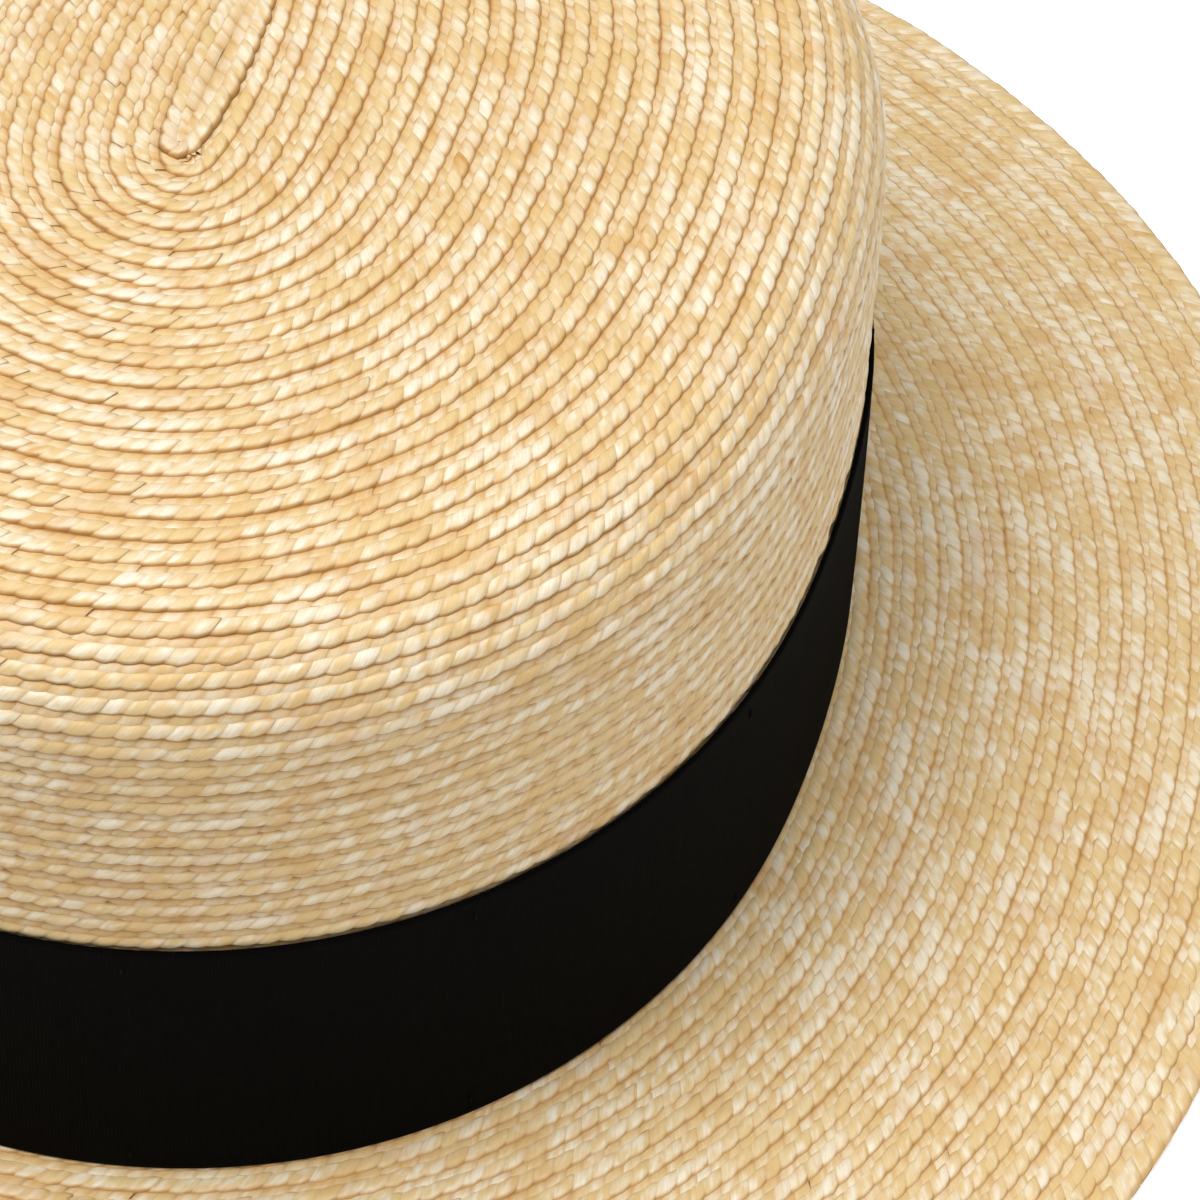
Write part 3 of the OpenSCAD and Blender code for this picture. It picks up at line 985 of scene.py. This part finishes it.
class BOATER_OT_ribbon(bpy.types.Operator):
    """Puts the ribbed ribbon round the crown and tacks it down"""

    bl_idname = "boater.ribbon"
    bl_label = "Ribbon and tacks"

    def execute(self, context):
        z, crown = sizes(), Crown()
        black = finish_of("black_grosgrain")
        height = RIBBON_HIGH.z - RIBBON_LOW.z
        s1, s0 = crown.s_at(RIBBON_LOW.z), crown.s_at(RIBBON_HIGH.z)
        turn = around(crown, s1, 0.0, 2)[1]
        ribs = int((turn[1] - turn[0]) / z.rib)
        a, run = around(crown, s1, 0.0, ribs * 3 + 1)
        a, run = a[:-1], (run - run[0])[:-1]
        v = np.array([0, 0.012, 0.25, 0.5, 0.75, 0.988, 1])
        wave = rib_wave(run, run[1] * 3, 0.07 * MM)

        def surface(u, v, out):
            sag = 0.10 * MM * np.sin(3 * u + 1.0) * np.sin(np.pi * v)
            edge = -0.10 * MM * (np.abs(2 * v - 1) > 0.999)
            rest = 0.12 * MM + z.ribbon / 2
            return place(crown, s1 + (s0 - s1) * v + 0.12 * MM * np.sin(5 * u), u,
                         rest + out + (sag + edge) * (out > 0))

        patch = cloth_patch(surface, a, v, z.ribbon, run, height, wave, closed=True, lines=4)
        piece = make_piece("ribbon", [patch], black, ["ribbon_band"])

        tacks = []
        spots = (np.arange(8) + 0.5) / 8 * 250 * DEG - 125 * DEG
        for up in (RIBBON_LOW.z + 3.2 * MM, RIBBON_HIGH.z - 3.2 * MM):
            tacks.append(dashes(crown, np.full(8, crown.s_at(up)), spots, z.ribbon + 0.32 * MM,
                                1.1 * MM, 0.36 * MM, along_row=False))
        make_piece("tacks", tacks, finish_of("tack_thread"), ["ribbon_tacks"],
                   weld=True)
        return {"FINISHED"}


def loop_surface(wall, near, far, half, pinch, low, high, side):
    """One loop of a bow: out along the lower layer, round the fold and back on top.

    u runs along the ribbon from 0 to 1. The half height shrinks towards the knot, where
    the cloth gathers in three pleats.
    """
    bend = (high - low) / 2
    flat = far - bend - near

    def surface(u, v, out):
        total = 2 * flat + math.pi * bend
        run = u * total
        turn = np.clip((run - flat) / bend, 0, math.pi)
        back = np.maximum(run - flat - math.pi * bend, 0)
        along = near + np.minimum(run, flat) - back + bend * np.sin(turn)
        rise = low + bend - bend * np.cos(turn)
        away = np.clip((along - near) / (0.45 * (far - near)), 0, 1)
        gather = 1 - away * away * (3 - 2 * away)
        upper = (1 - np.cos(turn)) / 2
        full = np.sin(np.pi * np.clip((along - near) / (far - near), 0, 1))
        rise = rise + upper * (0.35 * bend * full - 0.35 * bend * gather)
        rise = rise + gather * 0.22 * bend * np.cos(6 * np.pi * v)
        rise = rise + 0.10 * bend * np.sin(2.2 * v + 3 * u)
        reach = half - pinch * gather
        direction = np.cos(turn)
        on_top = run > flat + math.pi * bend
        outward = out * np.where(run < flat, -1.0, np.where(on_top, 1.0, -direction))
        across = out * np.sin(turn)
        return wall.at(side * (along + across), (2 * v - 1) * reach, rise + outward)

    return surface, 2 * flat + math.pi * bend


class BOATER_OT_bow(bpy.types.Operator):
    """Ties the flat bow at the wearer's left: tails, loops and knot"""

    bl_idname = "boater.bow"
    bl_label = "Bow"

    def execute(self, context):
        z, crown = sizes(), Crown()
        black = finish_of("black_grosgrain")
        middle = (RIBBON_LOW.z + RIBBON_HIGH.z) / 2
        wall = Wall(crown, middle, math.pi)
        cloth, rest = 0.55 * MM, 0.16 * MM
        base = rest + z.ribbon

        half = (TAILS_HIGH.z - TAILS_LOW.z) / 2
        reach = TAILS_HIGH.y * 1.0 + 1.5 * MM
        notch = 9 * MM

        def tails(u, v, out):
            end = reach - notch * (1 - np.abs(2 * v - 1))
            lift = base + 0.45 * MM + 0.18 * MM * np.sin(9 * u + 2 * v) * np.abs(u)
            return wall.at(u * end, (2 * v - 1) * half, lift + out)

        v = np.linspace(0, 1, 17)
        count = int(2 * reach / z.rib) * 4 + 1
        u = np.linspace(-1, 1, count)
        run = (u + 1) * reach
        patch = cloth_patch(tails, u, v, cloth, run, 2 * half, rib_wave(run, z.rib, 0.06 * MM))
        piece = make_piece("tails", [patch], black, ["bow_tails"], weld=True)

        half = (LOOPS_HIGH.z - LOOPS_LOW.z) / 2
        low = base + 1.15 * MM
        high = low + 2.5 * MM
        knot_half = (KNOT_HIGH.y - KNOT_LOW.y) / 2
        far = knot_half + 36 * MM
        patches = []
        for side in (-1, 1):
            surface, total = loop_surface(wall, 1.2 * MM, far, half, 4.5 * MM, low, high, side)
            u = np.linspace(0, 1, int(total / z.rib) * 4 + 1)
            run = u * total
            v = np.linspace(0, 1, 19)
            patches.append(cloth_patch(surface, u, v, cloth, run, 2 * half,
                                       rib_wave(run, z.rib, 0.06 * MM), number=float(side)))
        piece = make_piece("loops", patches, black, ["bow_loops"], weld=True)
        2 * total

        half_up = (KNOT_HIGH.z - KNOT_LOW.z) / 2
        top = high + 1.15 * MM
        depth = top - base - 0.3 * MM
        radius = 1.6 * MM
        legs = depth - radius
        face = 2 * (half_up - radius)
        total = 2 * legs + math.pi * radius + face

        def knot(u, v, out):
            run = u * total - total / 2
            size = np.abs(run)
            turn = np.clip((size - face / 2) / radius, 0, math.pi / 2)
            down = np.maximum(size - face / 2 - radius * math.pi / 2, 0)
            up = np.minimum(size, face / 2) + (radius + out) * np.sin(turn)
            rise = top - radius + (radius + out) * np.cos(turn) - down
            wide = knot_half * (1 - 0.10 * np.cos(np.clip(run / face, -0.5, 0.5) * np.pi) ** 2)
            fold = 0.34 * MM * np.cos(4.5 * 2 * np.pi * (v - 0.5) + 0.4 * np.sin(run / (6 * MM)))
            fold = fold * np.cos(turn) + 0.5 * MM * (np.cos((v - 0.5) * 2) - 1)
            return wall.at((2 * v - 1) * wide, np.sign(run) * up, rise + fold)

        u = np.linspace(0, 1, int(total / z.rib) * 4 + 1)
        run = u * total
        v = np.linspace(0, 1, 41)
        patch = cloth_patch(knot, u, v, cloth, run, 2 * knot_half, rib_wave(run, z.rib, 0.05 * MM))
        piece = make_piece("knot", [patch], black, ["bow_knot"], weld=True)
        return {"FINISHED"}


class BOATER_OT_sweatband(bpy.types.Operator):
    """Sews in the sweatband, with its piping, stitches and the small bow at the back"""

    bl_idname = "boater.sweatband"
    bl_label = "Sweatband"

    def execute(self, context):
        z, crown = sizes(), Crown()
        cream, cord = finish_of("cream_grosgrain"), finish_of("cream_cord")
        back = -math.pi / 2
        low, high = SWEAT_LOW.z, SWEAT_HIGH.z
        s1, s0 = crown.s_at(low), crown.s_at(high)
        gap = z.slit / 2 / (z.crown_half + z.straight)
        a, run = around(crown, s1, back + math.pi, 2961, -math.pi + gap * 1.1, math.pi - gap * 1.1)
        run = run - run[0]
        v = np.array([0, 0.02, 0.06, 0.3, 0.6, 0.9, 0.97, 1])
        rest = -z.shell - 0.42 * MM - z.sweat / 2

        def band(u, v, out):
            lean_in = -0.5 * MM * v * (1 + 0.3 * np.sin(4 * u))
            return place(crown, s1 + (s0 - s1) * v, u, rest + lean_in - out)

        wave = rib_wave(run, 0.8 * MM, 0.09 * MM)
        patch = cloth_patch(band, a, v, z.sweat * 0.8, run, high - low, wave, lines=4)
        piece = make_piece("sweatband_cloth", [patch], cream, ["sweatband"], weld=True)

        at = crown.s_at(low - 0.75 * MM)
        t = np.linspace(0, 2 * math.pi, 1441)[:-1]
        angle = np.arange(12) * math.pi / 6
        radius = 0.85 * MM
        twist = 1 + 0.09 * np.sin(2 * angle[None, :] + 180 * t[:, None])
        points = place(crown, at + radius * twist * np.sin(angle)[None, :], t[:, None] + back,
                       -z.shell - 0.95 * MM + radius * twist * np.cos(angle)[None, :])
        centre = place(crown, at, t[:, None] + back, -z.shell - 0.95 * MM) + 0 * points
        grain = np.stack(np.broadcast_arrays(t[:, None] * 95, angle[None, :], 0.0), -1)
        outward = (points - centre)[:-1, :-1]
        patch = Patch(points, wrap=(True, True), lines=6, outward=outward, grain=grain)
        make_piece("piping", [patch], cord, ["sweatband_piping"])

        spots, _ = around(crown, s1, back + math.pi, 66, -math.pi + 0.04, math.pi - 0.04)
        patch = dashes(crown, np.full(66, s1 - 2.2 * MM), spots, rest - z.sweat * 0.5 - 0.12 * MM,
                       1.7 * MM, 0.4 * MM)
        make_piece("sweatband_sewing", [patch], finish_of("seam_thread"),
                   ["sweatband_stitches"], weld=True)
        self.small_bow(crown, low, rest, cord)
        return {"FINISHED"}

    @staticmethod
    def small_bow(crown, low, rest, cord):
        """Two loops, two ends and a knot of narrow ribbon over the gap."""
        wall = Wall(crown, low + 9 * MM, -math.pi / 2)
        thin = 0.3 * MM
        start = rest - 1.0 * MM
        patches = []
        v = np.linspace(0, 1, 9)

        class Inwards:
            """Turns the wall's outward direction in, towards the head."""

            @staticmethod
            def at(along, up, out):
                return wall.at(along, up, start - out)

        u = np.linspace(0, 1, 61)
        for side in (-1, 1):
            surface, total = loop_surface(Inwards, 0.8 * MM, 12 * MM, 3.6 * MM, 2.6 * MM,
                                          0.2 * MM, 1.9 * MM, side)
            patches.append(cloth_patch(surface, u, v, thin, u * total, 7 * MM, lines=1))

            def end(u, v, out, side=side):
                run = u * 15 * MM
                along = side * (0.8 * MM + 0.42 * run + (v - 0.5) * 3.6 * MM)
                droop = 0.25 * MM * np.sin(3 * u)
                up = -run * 0.9 - (v - 0.5) * 1.4 * MM * side * side
                return Inwards.at(along, up, 0.2 * MM + droop + out)

            patches.append(cloth_patch(end, u, v, thin, u * 15 * MM, 3.6 * MM, lines=1))

        def knot(u, v, out):
            turn = u * 2 * math.pi
            return Inwards.at((2 * v - 1) * 1.9 * MM, (2.3 * MM + out) * np.sin(turn),
                              1.0 * MM + (1.5 * MM + out) * np.cos(turn))

        around_knot = np.linspace(0, 1, 33)[:-1]
        patches.append(cloth_patch(knot, around_knot, v, thin, around_knot * 12 * MM, 3.8 * MM,
                                   closed=True, lines=1))
        piece = make_piece("small_bow", patches, cord, ["sweatband_bow"], weld=True)


class BOATER_OT_stage(bpy.types.Operator):
    """Sets out the floor, the soft lights and the camera"""

    bl_idname = "boater.stage"
    bl_label = "Stage"

    lens = 138.18045
    azimuth, elevation, roll = -11.8706 * DEG, 48.3808 * DEG, 3.8867 * DEG
    target_x, target_y, away = 60.927 * MM, -38.757 * MM, 592.454 * MM

    @staticmethod
    def lamp(name, azimuth, elevation, away, size, watts):
        """A square soft light that faces the hat from an azimuth and an elevation."""
        light = bpy.data.lights.new(name, "AREA")
        light.shape, light.size, light.energy = "SQUARE", size, watts
        lamp = bpy.data.objects.new(name, light)
        bpy.context.scene.collection.objects.link(lamp)
        a, e = azimuth * DEG, elevation * DEG
        towards = Vector((math.sin(a) * math.cos(e), -math.cos(a) * math.cos(e), math.sin(e)))
        lamp.location = towards * away
        lamp.rotation_mode = "QUATERNION"
        lamp.rotation_quaternion = towards.to_track_quat("Z", "Y")

    def execute(self, context):
        scene = context.scene
        mesh = bpy.data.meshes.new("floor")
        far = 6.0
        corners = [(-far, -far, 0), (far, -far, 0), (far, far, 0), (-far, far, 0)]
        mesh.from_pydata(corners, [], [(0, 1, 2, 3)])
        mesh.materials.append(floor_material())
        floor = bpy.data.objects.new("floor", mesh)
        scene.collection.objects.link(floor)

        world = bpy.data.worlds.new("studio")
        world.use_nodes = True
        world.node_tree.nodes["Background"].inputs["Color"].default_value = (1, 1, 1, 1)
        world.node_tree.nodes["Background"].inputs["Strength"].default_value = 0.10
        scene.world = world
        self.lamp("above", 0, 86, 1.6, 1.1, 17)
        self.lamp("side", 75, 35, 1.6, 1.1, 6)
        self.lamp("left", -60, 60, 1.6, 1.1, 11.5)

        camera = bpy.data.cameras.new("camera")
        camera.sensor_width, camera.lens = 36, self.lens
        camera.clip_start, camera.clip_end = 0.05, 20
        az, el, roll = self.azimuth, self.elevation, self.roll
        ahead = Vector((math.sin(az) * math.cos(el), math.cos(az) * math.cos(el), -math.sin(el)))
        right = Vector((math.cos(az), -math.sin(az), 0))
        above = right.cross(ahead)
        turned = right * math.cos(roll) + above * math.sin(roll)
        above = above * math.cos(roll) - right * math.sin(roll)
        target = Vector((self.target_x, self.target_y, SIDE_LOW.z + 60 * MM))
        spot = target - ahead * self.away
        seat = bpy.data.objects.new("camera", camera)
        scene.collection.objects.link(seat)
        turn = Matrix((turned, above, -ahead)).transposed().to_4x4()
        seat.matrix_world = Matrix.Translation(spot) @ turn
        scene.camera = seat
        scene.view_settings.view_transform = "Standard"
        return {"FINISHED"}


OPERATORS = [
    BOATER_OT_crown_rows, BOATER_OT_crown_inside, BOATER_OT_brim_rows, BOATER_OT_plait_ends,
    BOATER_OT_laps, BOATER_OT_seam_threads, BOATER_OT_ribbon, BOATER_OT_bow,
    BOATER_OT_sweatband, BOATER_OT_stage,
]


class BOATER_PT_panel(bpy.types.Panel):
    """Lists the hat's pieces, in the order they are made."""

    bl_idname = "BOATER_PT_panel"
    bl_label = "Straw boater"
    bl_space_type = "VIEW_3D"
    bl_region_type = "UI"
    bl_category = "Boater"

    def draw(self, context):
        for operator in OPERATORS:
            self.layout.operator(operator.bl_idname)
        for group in (context.scene.boater_sizes, context.scene.boater_colours):
            box = self.layout.box()
            for name in group.bl_rna.properties.keys():
                if name not in ("rna_type", "name"):
                    box.prop(group, name)


CLASSES = [BoaterSizes, BoaterColours, *OPERATORS, BOATER_PT_panel]


def register():
    """Adds the classes and the scene's sizes and colours."""
    for kind in CLASSES:
        bpy.utils.register_class(kind)
    bpy.types.Scene.boater_sizes = bpy.props.PointerProperty(type=BoaterSizes)
    bpy.types.Scene.boater_colours = bpy.props.PointerProperty(type=BoaterColours)


def unregister():
    """Takes them away again."""
    del bpy.types.Scene.boater_colours, bpy.types.Scene.boater_sizes
    for kind in reversed(CLASSES):
        bpy.utils.unregister_class(kind)


def main():
    """Makes every piece and the stage in order."""
    register()
    for operator in OPERATORS:
        getattr(bpy.ops.boater, operator.bl_idname.split(".")[1])()


if __name__ == "__main__":
    main()
